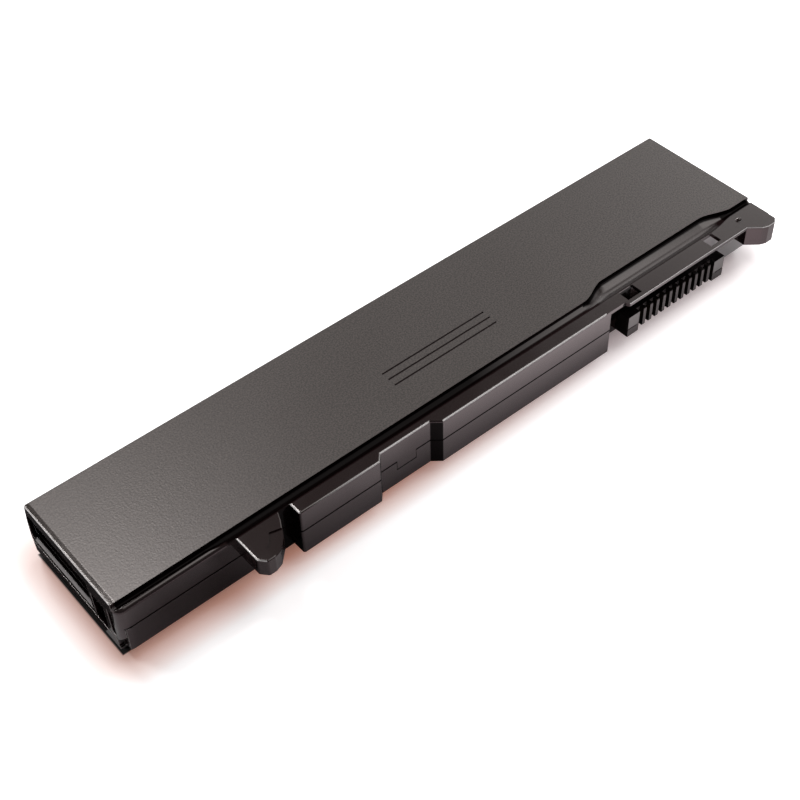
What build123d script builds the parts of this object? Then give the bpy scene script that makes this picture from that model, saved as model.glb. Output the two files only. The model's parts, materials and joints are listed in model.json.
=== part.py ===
from build123d import *
import os

# Laptop battery pack: six cylindrical cells in a moulded two-part case.
# Millimetres. While building, x runs along the pack from its left end, y = 0 is the
# front edge of the top panel with the connector side towards -y, and z = 0 is the floor.

# cells and the case round them
CELL_D = 18.2
CELL_L = 65.0
CELL_NUB_D = 8.0
CELL_NUB_H = 0.6
CELL_GAP = 0.3
ROW_GAP = 0.4
STRIP_T = 0.2
SKIN = 0.8
WALL = 1.2
BAY_SKIN = 0.8
LEFT_END = 3.4
RIGHT_SPARE = 7.4
BACK_BULGE = 1.65
BACK_FOOT_IN = 0.85
FRONT_FOOT_IN = 1.7
BACK_R = 0.6
OVERLAP = 1.0
FRONT_AXIS_Y = 9.35

# heights of the case measured down from the top panel
SHELF_DROP = 1.3
PARTING_DROP = 8.0
SKIRT_DROP = 13.4
TONGUE_DROP = 15.9
ROOF_DROP = 2.9
BAR_T = 1.1

# front edge, read along x, with how far each wall stands in front of the panel edge
CORNER_R = 2.3
WALL_A_OUT = 2.3
HOOK_X = 31.7
BLOCK_X = 46.8
BLOCK_L = 23.7
BLOCK_OUT = 6.2
WALL_D_X = 72.2
WALL_D_L = 15.4
WALL_D_OUT = 4.3
WALL_E_X = 90.0
WALL_E_OUT = 6.3
BAY_L = 59.8
BAY_OUT = 1.8
BAR_L = 45.5
BAR_OUT = 7.6
TAB_L = 9.1
TAB_OUT = 11.1
TAB_T = 6.1
TAB_SLANT = (3.3, 0.7)
TAB_NOSE = 5.0
TAB_CUT = (1.6, 1.2)
HOOK_OUT = 12.3
HOOK_T = 5.1
HOOK_STEP = 0.45
HOOK_PLAN = [(0, 1.9), (1.6, 0), (3.6, 0), (5.6, 0.7), (8.6, 3.6), (10.9, 7.6)]
HOOK_W = 11.9
HOOK_STEP_PLAN = [(6.7, 6.5), (14, 4.5), (12, -1), (4.2, -1), (3.4, 3.5), (4.4, 3.7)]
EDGE_R = 0.5
SHOULDER_R = 1.1
RIM_R = 0.5
BLUNT_R = 0.6
BAR_R = 0.25
TAB_R = 0.7
TAB_RIM_R = 0.3
HOOK_R = 0.8
HOOK_RIM_R = 0.4
LAP = 2.0

# trough along the panel edge and the scoop beside the connector
TROUGH_OUT = 2.55
TROUGH_SAG = 0.45
GUTTER_OUT = 1.2
GUTTER_SAG = 0.3
GUTTER_L = 24.0
GUTTER_BLEND = 7.0
SCOOP_L = 57.0
SCOOP_END = 7.0
SCOOP_IN = 2.85
SCOOP_RAMP = 9.2
SCOOP_FADE = 10.4
SCOOP_SAG = 0.9

# openings in the bar, bump on the tab, engraved lines on the panel
WINDOW_1_IN = 0.65
WINDOW_1_L = 5.05
WINDOW_2_IN = 8.95
WINDOW_2_L = 4.0
WINDOW_W = 3.6
WINDOW_BEHIND = 0.1
BUMP_R = 1.1
BUMP_H = 0.7
BUMP_IN = 0.9
BUMP_OUT = 3.7
LINE_OFFSET = 1.2
LINE_L = 33.8
LINE_Y = 9.6
LINE_PITCH = 2.45
LINE_W = 0.5
LINE_DEPTH = 0.3

# hollows of the left end, measured back from the panel edge
POCKET_1_Y = 10.6
POCKET_2_Y = 4.3
POCKET_2_W = 5.3
POCKET_2_DROP = 2.1
POCKET_DEPTH = 2.4
POCKET_R = 1.5
POCKET_WALL = 0.6
SLIT_Y = 0.6
SLIT_W = 1.9
SLIT_DEPTH = 1.6
SLIT_TOP = 1.0
SLIT_FOOT = 0.7
SLIT_EDGE = 0.3
LIP_T = 3.1
SKIRT_X = 1.2
SKIRT_RISE = 2.6
POCKET_FLOOR = 1.7
FRAME_BEVEL = 0.6
FRAME_BACK = 2.2
FOOT_RISE = 3.0
FOOT_IN = 2.2
END_GAP = 0.9
NOTCH_Y = 1.0

# joint between the two halves of the case
GROOVE_H = 0.3
GROOVE_IN = 0.35
GROOVE_R = 0.4
KEY_X = 77.1
KEY_L = 5.9
KEY_DEPTH = 2.9
KEY_CLEAR = 0.15
KEY_LAND = 2.0

# connector
PLUG_L = 37.6
PLUG_END = 5.7
PLUG_H = 6.9
PLUG_OUT = 6.0
PLUG_CLEAR = 0.2
PLUG_LEDGE = 1.1
SLOT_PITCH = 2.53
SLOT_W = 1.5
SLOT_COUNT = 12
SLOT_BACK = 1.0
SLOT_ROOF = 1.2
SLOT_MOUTH = 1.5
TOOTH_SHORT = 0.8
TOOTH_R = 0.35
END_LINE_Z = 2.5
END_LINE_H = 0.3
END_LINE_DEPTH = 0.25
END_LINE_GAP = 0.9
BLADE_IN = 1.6
BLADE_ROOT = 0.5
BLADE_T = 0.5
BLADE_H = 3.4

# circuit board and the parts on its front
BOARD_IN = 2.0
BOARD_END_GAP = 3.4
BOARD_T = 0.8
BOARD_H = 9.5
BOARD_LIFT = 0.3
BOARD_CLEAR = 0.05
LUG_ROOM = 5.6
PART_GAP = 0.8
CONTROL_L = 7.0
CONTROL_H = 6.4
CONTROL_T = 1.1
GUARD_L = 5.0
GUARD_H = 4.4
GUARD_T = 1.0
SWITCH_L = 5.2
SWITCH_H = 5.8
SWITCH_T = 1.2
SHUNT_L = 3.2
SHUNT_H = 3.2
SHUNT_T = 0.6
FUSE_L = 3.6
FUSE_H = 2.8
FUSE_T = 1.0

# leads
LEAD_R = 0.7
TAP_R = 0.45
LUG_T = 0.8
LUG_L = 3.0
TAP_RUN = 6.0
POSITIVE_RUN = 8.2
LEAD_Y = 0.3
LEAD_DROP = 1.1
LEAD_BEND = 4.0
LEAD_TURN = 16.0
TAP_TURN = 14.0
TURN_END = 3.0
LUG_INSET = 1.6
TAP_1_Y = -0.3

# room inside the case, with the rib that stops the cells on the right
ROOM_FOOT = 2.8
ROOM_FRONT = 1.0
ROOM_STEP = 3.3
ROOM_TOP = 4.3
BAY_LAP = 6.0
RIB_GAP = 0.8
RIB_T = 1.2
RIB_FRONT = 3.0
RIB_BACK = 5.0
RIB_DROP = 1.6

# nickel strips, and the small shapes of the cells
CELL_R = 0.5
RING_IN = 1.1
RING_HOLE = 0.8
STRIP_H = 6.0
ARM_H = 1.8
ARM_W = 2.5
ARM_GAP = 0.1

# sizes that follow from the ones above
HEIGHT = CELL_D + 2 * (CELL_GAP + SKIN)
CELL_PITCH = CELL_L + STRIP_T
CELL_X = LEFT_END + STRIP_T + STRIP_T
STACK_END = CELL_X + 3 * CELL_PITCH
LENGTH = STACK_END + RIGHT_SPARE + WALL
ROW_PITCH = CELL_D + ROW_GAP
AXIS_Y = [FRONT_AXIS_Y, FRONT_AXIS_Y + ROW_PITCH]
AXIS_Z = HEIGHT / 2
BACK_Y = AXIS_Y[1] + CELL_D / 2 + CELL_GAP + WALL
PANEL_DEPTH = BACK_Y - BACK_BULGE
SHELF_Z = HEIGHT - SHELF_DROP
PARTING_Z = HEIGHT - PARTING_DROP
SKIRT_Z = HEIGHT - SKIRT_DROP
TONGUE_Z = HEIGHT - TONGUE_DROP
ROOF_Z = HEIGHT - ROOF_DROP
WALL_E_END = LENGTH - BAY_L
BAR_END = LENGTH - TAB_L
BAR_X = BAR_END - BAR_L
SCOOP_X = LENGTH - SCOOP_END - SCOOP_L
WINDOW_1_X = BAR_X + WINDOW_1_IN
WINDOW_2_X = BAR_END - WINDOW_2_IN - WINDOW_2_L
LINE_X = LENGTH / 2 + LINE_OFFSET - LINE_L / 2
PLUG_X = BAR_END - PLUG_END - PLUG_L
BOARD_X = WALL_E_X + BOARD_IN
BOARD_L = STACK_END - BOARD_END_GAP - BOARD_X
BOARD_Y = -BAY_OUT + BAY_SKIN + BOARD_CLEAR
BOARD_Z = TONGUE_Z + WALL + BOARD_LIFT
LEAD_Z = ROOF_Z - LEAD_DROP
FRONT_RUN = BOARD_Y - LUG_T - LEAD_R + 0.4
TAP_1_Z = BOARD_Z + LUG_INSET
ARM_BACK = BOARD_Y + BOARD_T + ARM_GAP
BOARD_MIDDLE = BOARD_H / 2
SHIFT = Pos(-LENGTH / 2, -(BACK_Y - HOOK_OUT) / 2, 0)


def block(x0, x1, y0, y1, z0, z1):
    """Box between two corners."""
    return Pos((x0 + x1) / 2, (y0 + y1) / 2, (z0 + z1) / 2) * Box(x1 - x0, y1 - y0, z1 - z0)


def prism(points, z0, z1):
    """Straight-sided solid over a closed outline in plan."""
    face = make_face(Polyline(*points, close=True))
    return Pos(0, 0, z0) * extrude(face, amount=z1 - z0, dir=(0, 0, 1))


def along_x(face, x0, x1):
    """Solid with a constant section, from a face drawn in y and z."""
    return Pos(x0, 0, 0) * extrude(face, amount=x1 - x0, dir=(1, 0, 0))


def body_section():
    """Section of the thick part of the case that holds the cells, with its bowed back."""
    a = Plane.YZ.from_local_coords
    foot = a((BACK_Y - BACK_FOOT_IN, 0))
    front = Polyline(a((FRONT_FOOT_IN, 0)), a((0, TONGUE_Z)), a((0, HEIGHT)), a((PANEL_DEPTH, HEIGHT)))
    back = ThreePointArc(a((PANEL_DEPTH, HEIGHT)), a((BACK_Y, AXIS_Z)), foot)
    under = Line(foot, a((FRONT_FOOT_IN, 0)))
    return make_face([front, back, under])


def body():
    """Thick part of the case, with rounded back corners and edges."""
    solid = along_x(body_section(), 0, LENGTH)
    ends = [e for e in solid.edges() if e.center().Y > PANEL_DEPTH and abs(e.center().X - LENGTH / 2) > 1]
    solid = fillet(ends, BACK_R)
    rim = [e for e in solid.edges().group_by(Axis.Z)[-1] if e.center().Y > 1]
    return fillet(rim, RIM_R)


def tongue_outline():
    """Plan of the thinner front part that slides into the laptop."""
    return [
        (WALL_E_END, -WALL_E_OUT), (WALL_E_END, -BAY_OUT), (LENGTH, -BAY_OUT), (LENGTH, OVERLAP),
        (0, OVERLAP), (0, -WALL_A_OUT), (BLOCK_X, -WALL_A_OUT), (BLOCK_X, -BLOCK_OUT),
        (BLOCK_X + BLOCK_L, -BLOCK_OUT), (WALL_D_X, -WALL_D_OUT),
        (WALL_D_X + WALL_D_L, -WALL_D_OUT), (WALL_E_X, -WALL_E_OUT),
    ]


def wall_a():
    """Low left-hand run of the front part, with its rounded corner and shoulder."""
    solid = block(0, BLOCK_X + OVERLAP, -WALL_A_OUT, OVERLAP, TONGUE_Z, SHELF_Z)
    corner = [e for e in solid.edges().filter_by(Axis.Z) if e.center().X < 0.1 and e.center().Y < 0]
    solid = fillet(corner, CORNER_R)
    rim = [e for e in solid.edges().group_by(Axis.Z)[-1] if e.center().Y < -WALL_A_OUT + 0.1]
    return fillet(rim, SHOULDER_R)


def tongue():
    """Front part with its stepped walls and rounded shelf edge."""
    steps = [(max(x, BLOCK_X), y) for x, y in tongue_outline() if x >= BLOCK_X or y > 0]
    steps.remove((BLOCK_X, -WALL_A_OUT))
    solid = prism(steps, TONGUE_Z, SHELF_Z)
    outer = [(BLOCK_X, -BLOCK_OUT), (BLOCK_X + BLOCK_L, -BLOCK_OUT), (WALL_E_END, -WALL_E_OUT)]
    blunt = [
        e for e in solid.edges().filter_by(Axis.Z) for x, y in outer
        if abs(e.center().X - x) < 0.1 and abs(e.center().Y - y) < 0.1]
    solid = fillet(blunt, BLUNT_R)
    rim = [
        e for e in solid.edges().group_by(Axis.Z)[-1]
        if e.center().Y < -WALL_A_OUT - 0.1 and e.center().X < WALL_E_END - 0.1]
    return fillet(rim, EDGE_R) + wall_a()


def bar():
    """Thin shelf that bridges the connector bay."""
    outline = [
        (WALL_E_END - LAP, OVERLAP), (WALL_E_END - LAP, -WALL_E_OUT), (BAR_X - BLUNT_R, -WALL_E_OUT),
        (BAR_X, -BAR_OUT), (BAR_END, -BAR_OUT), (LENGTH, -BAR_OUT), (LENGTH, OVERLAP),
    ]
    solid = prism(outline, SHELF_Z - BAR_T, SHELF_Z)
    rim = [e for e in solid.edges().filter_by(Axis.X) if e.center().Y < -BAR_OUT + 0.1]
    return fillet(rim, BAR_R)


def tab():
    """Right-hand locating tab, with a slanted left side and a cut outer corner."""
    outline = [
        (BAR_END, OVERLAP), (BAR_END, -BAR_OUT), (BAR_END + TAB_SLANT[0], -TAB_OUT + TAB_SLANT[1]),
        (BAR_END + TAB_NOSE, -TAB_OUT), (LENGTH - TAB_CUT[0], -TAB_OUT),
        (LENGTH, -TAB_OUT + TAB_CUT[1]), (LENGTH, OVERLAP),
    ]
    solid = prism(outline, SHELF_Z - TAB_T, SHELF_Z)
    nose = [e for e in solid.edges().filter_by(Axis.Z) if e.center().Y < -BAR_OUT - 0.1]
    solid = fillet(nose, TAB_R)
    rim = [e for e in solid.edges().group_by(Axis.Z)[-1] if e.center().Y < -BAR_OUT - 0.2]
    return fillet(rim, TAB_RIM_R)


def hook():
    """Left-hand hook with a straight left side, a round nose and a stepped top."""
    nose = [(HOOK_X + x, y - HOOK_OUT) for x, y in HOOK_PLAN]
    right = HOOK_X + HOOK_W
    outline = [(HOOK_X, 0)] + nose + [(right, -WALL_A_OUT), (right, 0)]
    solid = prism(outline, SHELF_Z - HOOK_T, SHELF_Z)
    uprights = [e for e in solid.edges().filter_by(Axis.Z) if e.center().Y < -WALL_A_OUT - 0.1]
    solid = fillet(uprights, HOOK_R)
    side = [e for e in solid.edges().group_by(Axis.Z)[-1] if abs(e.center().X - HOOK_X) < 0.05]
    solid = fillet(side, HOOK_RIM_R)
    step = [(HOOK_X + x, y - HOOK_OUT) for x, y in HOOK_STEP_PLAN]
    return solid - prism(step, SHELF_Z - HOOK_STEP, SHELF_Z + 1)


def channel_face(x, out, back, sag):
    """Section of a round-bottomed channel, cut across at one place."""
    a = Plane.YZ.from_local_coords
    rim = SHELF_Z + 0.01
    arc = ThreePointArc(a((-out, rim)), a(((back - out) / 2, SHELF_Z - sag)), a((back, rim)))
    return Pos(x, 0, 0) * make_face([arc, Line(a((back, rim)), a((-out, rim)))])


def straight(start, end, out, back, sag):
    """Channel of constant section between two places."""
    return extrude(channel_face(start, out, back, sag), amount=end - start, dir=(1, 0, 0))


def ease(t):
    """Soft step from 0 to 1."""
    return t * t * (3 - 2 * t)


def blend(start, end, first, last, steps=6):
    """Channel that changes smoothly from one section to another."""
    faces = []
    for i in range(steps + 1):
        k = ease(i / steps)
        size = [a + (b - a) * k for a, b in zip(first, last)]
        faces.append(channel_face(start + (end - start) * i / steps, *size))
    return loft(faces)


def scoop_face():
    """Plan of the scoop, where the panel edge swings back and returns in two smooth bends."""
    x0, x1 = SCOOP_X, SCOOP_X + SCOOP_L
    steps = [i / 6 for i in range(7)]
    level = [(1, 0, 0), (1, 0, 0)]
    left = Spline(*[(x0 + SCOOP_RAMP * t, SCOOP_IN * ease(t)) for t in steps], tangents=level)
    top = Line((x0 + SCOOP_RAMP, SCOOP_IN), (x1 - SCOOP_FADE, SCOOP_IN))
    right = Spline(*[(x1 - SCOOP_FADE * (1 - t), SCOOP_IN * (1 - ease(t))) for t in steps], tangents=level)
    rest = Polyline((x1, 0), (x1, -TROUGH_OUT - 1), (x0, -TROUGH_OUT - 1), (x0, 0))
    return make_face([left, top, right, rest])


def scoop():
    """Wide hollow beside the connector: the panel is cut back to the shelf, then dished."""
    face = scoop_face()
    above = Pos(0, 0, SHELF_Z) * extrude(face, amount=SHELF_DROP + 1, dir=(0, 0, 1))
    under = Pos(0, 0, SHELF_Z - 2) * extrude(face, amount=2.02, dir=(0, 0, 1))
    x0, x1 = SCOOP_X, SCOOP_X + SCOOP_L
    narrow = (TROUGH_OUT, 0, TROUGH_SAG)
    wide = (TROUGH_OUT, SCOOP_IN + 0.1, SCOOP_SAG)
    gutter = (GUTTER_OUT, 0, GUTTER_SAG)
    parts = [
        blend(x0, x0 + SCOOP_RAMP, narrow, wide), straight(x0 + SCOOP_RAMP, x1 - SCOOP_FADE, *wide),
        blend(x1 - SCOOP_FADE, x1, wide, gutter)]
    return [above] + [p & under for p in parts]


def trough():
    """Channel along the panel edge: narrow behind the rounded shoulder, wider beside the blocks."""
    narrow = (GUTTER_OUT, 0, GUTTER_SAG)
    wide = (TROUGH_OUT, 0, TROUGH_SAG)
    end = GUTTER_L + GUTTER_BLEND
    return [
        straight(-1, GUTTER_L, *narrow), blend(GUTTER_L, end, narrow, wide), straight(end, SCOOP_X, *wide),
        straight(SCOOP_X + SCOOP_L, LENGTH + 1, *narrow)]


def windows():
    """The two rectangular openings through the bar."""
    y1 = -TROUGH_OUT - WINDOW_BEHIND
    pair = [(WINDOW_1_X, WINDOW_1_L), (WINDOW_2_X, WINDOW_2_L)]
    return [block(x, x + w, y1 - WINDOW_W, y1, SHELF_Z - BAR_T - 1, SHELF_Z + 1) for x, w in pair]


def panel_lines():
    """Three engraved lines near the middle of the panel."""
    ys = [LINE_Y + i * LINE_PITCH for i in range(3)]
    low = HEIGHT - LINE_DEPTH
    return [block(LINE_X, LINE_X + LINE_L, y - LINE_W / 2, y + LINE_W / 2, low, HEIGHT + 1) for y in ys]


def pockets():
    """Hollows of the left end; the large one reaches back to the bowed rear wall."""
    top = HEIGHT - LIP_T
    floor = SKIRT_Z + POCKET_FLOOR
    bow = offset(body_section(), amount=-POCKET_WALL, kind=Kind.INTERSECTION)
    large = block(-1, POCKET_DEPTH, POCKET_1_Y, BACK_Y, floor, top) & along_x(bow, -1, POCKET_DEPTH)
    low_back = [
        e for e in large.edges().filter_by(Axis.X)
        if e.center().Y > POCKET_1_Y + 1 and e.center().Z < floor + 0.1]
    large = fillet(low_back, POCKET_R)
    small = block(-1, POCKET_DEPTH, POCKET_2_Y, POCKET_2_Y + POCKET_2_W, SKIRT_Z - 1, top - POCKET_2_DROP)
    slit = block(-1, SLIT_DEPTH, SLIT_Y, SLIT_Y + SLIT_W, floor - SLIT_FOOT, top - SLIT_TOP)
    a = Plane.XZ.from_local_coords
    edge = Polyline(
        a((-0.1, floor + 0.1)), a((FRAME_BEVEL, floor + 0.1)), a((FRAME_BEVEL, floor)),
        a((0, floor - FRAME_BEVEL)), a((-0.1, floor - FRAME_BEVEL)), close=True)
    reach = BACK_Y - FRAME_BACK - POCKET_1_Y
    bevel = Pos(0, POCKET_1_Y, 0) * extrude(make_face(edge), amount=reach, dir=(0, 1, 0))
    return [large, small, slit, bevel]


def bump():
    """Small round bump on the tab."""
    ball = Pos(BAR_END + BUMP_IN, -BUMP_OUT, SHELF_Z + BUMP_H - BUMP_R) * Sphere(BUMP_R)
    return ball & block(BAR_END - 2, BAR_END + 4, -6, -1, SHELF_Z - BUMP_R / 4, SHELF_Z + 2)


def outside():
    """Whole case as one solid, before it is hollowed."""
    solid = body() + tongue() + bar() + tab() + hook() + bump()
    for cut in trough() + scoop() + windows() + panel_lines() + pockets():
        solid -= cut
    return solid


def inside():
    """Room for the cells, the board and the leads."""
    a = Plane.YZ.from_local_coords
    lines = Polyline(
        a((BACK_Y - BACK_FOOT_IN - WALL, SKIN)), a((ROOM_FOOT, SKIN)), a((ROOM_FRONT, TONGUE_Z + 0.1)),
        a((ROOM_FRONT, ROOF_Z)), a((ROOM_STEP, ROOF_Z)), a((ROOM_TOP, HEIGHT - SKIN)),
        a((PANEL_DEPTH - WALL, HEIGHT - SKIN)))
    bow = ThreePointArc(
        a((PANEL_DEPTH - WALL, HEIGHT - SKIN)), a((BACK_Y - WALL, AXIS_Z)),
        a((BACK_Y - BACK_FOOT_IN - WALL, SKIN)))
    cells = along_x(make_face([lines, bow]), LEFT_END, LENGTH - WALL)
    plan = offset(make_face(Polyline(*tongue_outline(), close=True)), amount=-WALL, kind=Kind.INTERSECTION)
    floor = TONGUE_Z + WALL
    front = Pos(0, 0, floor) * extrude(plan, amount=ROOF_Z - floor, dir=(0, 0, 1))
    front = front & block(LEFT_END, LENGTH - WALL, -20, 2, floor, ROOF_Z)
    front += block(LEFT_END, LENGTH - WALL, -0.5, 2, floor, ROOF_Z)
    behind_bay = block(WALL_E_END - BAY_LAP, LENGTH - WALL, -BAY_OUT + BAY_SKIN, 2, floor, ROOF_Z)
    return cells + front + behind_bay


def upper_zone(gap):
    """Room taken by the upper half; a gap widens the key and the end skirt for clearance."""
    zone = block(-1, LENGTH + 1, -30, 60, PARTING_Z, HEIGHT + 2)
    zone += block(
        KEY_X - gap, KEY_X + KEY_L + gap, -WALL_D_OUT - 1, -WALL_D_OUT + WALL + gap,
        PARTING_Z - KEY_DEPTH - gap, PARTING_Z + 1)
    zone += block(-1, SKIRT_X + gap, -30, 60, SKIRT_Z - gap, PARTING_Z + 1)
    return zone


def skirt_cut():
    """Slope under the front corner of the end skirt."""
    a = Plane.YZ.from_local_coords
    low, high = SKIRT_Z - 1, SKIRT_Z + SKIRT_RISE
    face = make_face(Polyline(
        a((SLIT_Y - SLIT_EDGE, SKIRT_Z)), a((-WALL_A_OUT, high)), a((-WALL_A_OUT - 1, high)),
        a((-WALL_A_OUT - 1, low)), a((SLIT_Y - SLIT_EDGE, low)), close=True))
    return along_x(face, -1, SKIRT_X + KEY_CLEAR)


def joint_groove(case):
    """Shadow line round the upper rim of the lower half."""
    z0 = PARTING_Z - GROOVE_H
    slab = case & block(SKIRT_X + KEY_CLEAR, LENGTH + 1, -30, 60, z0, PARTING_Z)
    plan = make_face(Polyline(*tongue_outline(), close=True))
    front = offset(plan, amount=-GROOVE_IN, kind=Kind.INTERSECTION)
    core = Pos(0, 0, z0) * extrude(front, amount=GROOVE_H, dir=(0, 0, 1))
    rear = block(GROOVE_IN, LENGTH - GROOVE_IN, 0.1, BACK_Y - 0.1 - GROOVE_IN, z0, PARTING_Z)
    core += fillet([e for e in rear.edges().filter_by(Axis.Z) if e.center().Y > 1], GROOVE_R)
    keep = block(KEY_X - KEY_LAND, KEY_X + KEY_L + KEY_LAND, -WALL_D_OUT + GROOVE_IN, 0, z0, PARTING_Z)
    return slab - core - keep


def foot_cut():
    """Slope under the left end, which lifts its lower edge off the floor."""
    a = Plane.XZ.from_local_coords
    face = make_face(Polyline(
        a((-1, -1)), a((FOOT_IN, -1)), a((FOOT_IN, 0)), a((0, FOOT_RISE)), a((-1, FOOT_RISE)), close=True))
    return Pos(0, -20, 0) * extrude(face, amount=BACK_Y + 40, dir=(0, 1, 0))


def covers():
    """Upper and lower halves of the case."""
    case = outside()
    shell = case - inside()
    upper = (shell & upper_zone(0)) - skirt_cut()
    lower = shell - upper_zone(KEY_CLEAR)
    lower -= block(-1, SKIRT_X + KEY_CLEAR, -30, NOTCH_Y, TONGUE_Z - 1, SKIRT_Z + 1)
    lower -= block(-1, SKIRT_X + KEY_CLEAR, -30, 60, SKIRT_Z - END_GAP, SKIRT_Z + 1)
    lower -= foot_cut()
    lower -= block(
        PLUG_X - PLUG_CLEAR, PLUG_X + PLUG_L + PLUG_CLEAR, -BAY_OUT - 1, -BAY_OUT + BAY_SKIN + 0.1,
        TONGUE_Z + PLUG_LEDGE, TONGUE_Z + PLUG_H + PLUG_CLEAR)
    rib_x = STACK_END + RIB_GAP
    lower += block(
        rib_x, rib_x + RIB_T, AXIS_Y[0] - RIB_FRONT, AXIS_Y[1] + RIB_BACK, SKIN / 2, AXIS_Z - RIB_DROP)
    return upper, lower - joint_groove(case)


def cell(row, place):
    """One cell lying along x, with its positive cap to the right."""
    can = Cylinder(CELL_D / 2, CELL_L - CELL_NUB_H, align=(Align.CENTER, Align.CENTER, Align.MIN))
    can = fillet(can.edges(), CELL_R)
    cap = Pos(0, 0, CELL_L - CELL_NUB_H) * Cylinder(
        CELL_NUB_D / 2, CELL_NUB_H, align=(Align.CENTER, Align.CENTER, Align.MIN))
    return Pos(CELL_X + place * CELL_PITCH, AXIS_Y[row], AXIS_Z) * Rot(0, 90, 0) * (can + cap)


def insulator_rings():
    """Paper rings on the positive shoulders of the cells."""
    low = (Align.CENTER, Align.CENTER, Align.MIN)
    ring = Cylinder(CELL_D / 2 - RING_IN, CELL_NUB_H / 2, align=low)
    ring -= Cylinder(CELL_NUB_D / 2 + RING_HOLE, CELL_NUB_H / 2, align=low)
    turn = Rot(0, 90, 0) * ring
    x = CELL_X + CELL_L - CELL_NUB_H
    return [Pos(x + i * CELL_PITCH, y, AXIS_Z) * turn for i in range(3) for y in AXIS_Y]


def strip(place, arm_z, arm_y):
    """Nickel strip joining the two cells of a pair, with an arm reaching forward to its lead."""
    x = CELL_X - STRIP_T + place * CELL_PITCH
    reach = STRIP_H - 1
    low, high = AXIS_Z - STRIP_H / 2, AXIS_Z + STRIP_H / 2
    front = FRONT_AXIS_Y - reach
    flat = block(x, x + STRIP_T, front, AXIS_Y[1] + reach - 1, low, high)
    post = block(x, x + STRIP_T, front, front + ARM_W, min(low, arm_z), max(high, arm_z + ARM_H))
    arm = block(x, x + STRIP_T, arm_y, front + ARM_W, arm_z, arm_z + ARM_H)
    return flat + post + arm


def board():
    """Long narrow circuit board standing on edge behind the front wall and the bay."""
    return block(BOARD_X, BOARD_X + BOARD_L, BOARD_Y, BOARD_Y + BOARD_T, BOARD_Z, BOARD_Z + BOARD_H)


def part_x(*lengths):
    """Place along the board after the lead ends and the parts before it."""
    return BOARD_X + LUG_ROOM + sum(length + PART_GAP for length in lengths)


def on_board(x, length, middle, height, thick):
    """Part soldered on the front of the board, centred at a height above the board's foot."""
    z0 = BOARD_Z + middle - height / 2
    return block(x, x + length, BOARD_Y - thick, BOARD_Y, z0, z0 + height)


def slot_xs():
    """Left sides of the connector slots."""
    first = PLUG_X + PLUG_L / 2 - ((SLOT_COUNT - 1) * SLOT_PITCH + SLOT_W) / 2
    return [first + i * SLOT_PITCH for i in range(SLOT_COUNT)]


def plug():
    """Connector housing: a comb of teeth between two end blocks, seated through the bay wall."""
    z0, z1 = TONGUE_Z, TONGUE_Z + PLUG_H
    first, last = slot_xs()[0], slot_xs()[-1] + SLOT_W
    solid = block(PLUG_X, PLUG_X + PLUG_L, -PLUG_OUT, -BAY_OUT, z0, z1)
    solid += block(PLUG_X, PLUG_X + PLUG_L, -BAY_OUT, BOARD_Y, z0 + PLUG_LEDGE + PLUG_CLEAR, z1)
    solid -= block(first, last, -PLUG_OUT - 1, -BAY_OUT - SLOT_BACK, z0 - 1, z0 + TOOTH_SHORT)
    for x in slot_xs():
        solid -= block(x, x + SLOT_W, -PLUG_OUT - 1, -BAY_OUT - SLOT_BACK, z0 - 1, z1 - SLOT_ROOF)
        solid -= block(x, x + SLOT_W, -PLUG_OUT - 1, -PLUG_OUT + SLOT_MOUTH, z0 - 1, z1 + 1)
        blade_x = x + (SLOT_W - BLADE_T) / 2
        solid -= block(
            blade_x, blade_x + BLADE_T, -BAY_OUT - SLOT_BACK - BLADE_ROOT, BOARD_Y,
            z1 - SLOT_ROOF - BLADE_H, z1 - SLOT_ROOF)
    line = z0 + END_LINE_Z
    for x0, x1 in ((PLUG_X - 1, first - END_LINE_GAP), (last + END_LINE_GAP, PLUG_X + PLUG_L + 1)):
        solid -= block(x0, x1, -PLUG_OUT - 1, -PLUG_OUT + END_LINE_DEPTH, line, line + END_LINE_H)
    tips = [
        e for e in solid.edges().filter_by(Axis.X)
        if first < e.center().X < last and e.center().Y < -PLUG_OUT + 0.01]
    return fillet(tips, TOOTH_R)


def blades():
    """Contact blades standing in the slots, with their tails on the board."""
    z1 = TONGUE_Z + PLUG_H - SLOT_ROOF
    xs = [x + SLOT_W / 2 for x in slot_xs()]
    front = -PLUG_OUT + BLADE_IN
    return [block(x - BLADE_T / 2, x + BLADE_T / 2, front, BOARD_Y, z1 - BLADE_H, z1) for x in xs]


def lead(points, radius, bend):
    """Insulated wire along a bent path."""
    path = FilletPolyline(*points, radius=bend)
    start = Plane(origin=path @ 0, z_dir=path % 0)
    return sweep(start * Circle(radius), path=path)


def lug(x0, x1, z0, z1, y0, y1):
    """Tinned end of a lead, flat on the board."""
    return block(x0, x1, y0, y1, z0, z1)


def strip_face(place):
    """Right-hand face of a strip."""
    return CELL_X + place * CELL_PITCH


def before_board(start, turn, z1, radius):
    """Bent lead from a strip, with its end soldered to the front of the board."""
    x1 = BOARD_X + LUG_ROOM / 2
    run = [
        start, (BOARD_X - turn, start[1], start[2]), (BOARD_X - TURN_END, FRONT_RUN, z1), (x1, FRONT_RUN, z1)]
    end = lug(x1 - LUG_L / 2, x1 + LUG_L / 2, z1 - radius, z1 + radius, FRONT_RUN, BOARD_Y)
    return lead(run, radius, LEAD_BEND) + end


def lead_negative():
    """Black lead along the top of the front row."""
    z1 = BOARD_Z + BOARD_H - LUG_INSET
    return before_board((strip_face(0), LEAD_Y, LEAD_Z), LEAD_TURN, z1, LEAD_R)


def lead_tap_1():
    """First tap lead, low behind the front wall."""
    return before_board((strip_face(1), TAP_1_Y, TAP_1_Z), TAP_TURN, TAP_1_Z, TAP_R)


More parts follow.
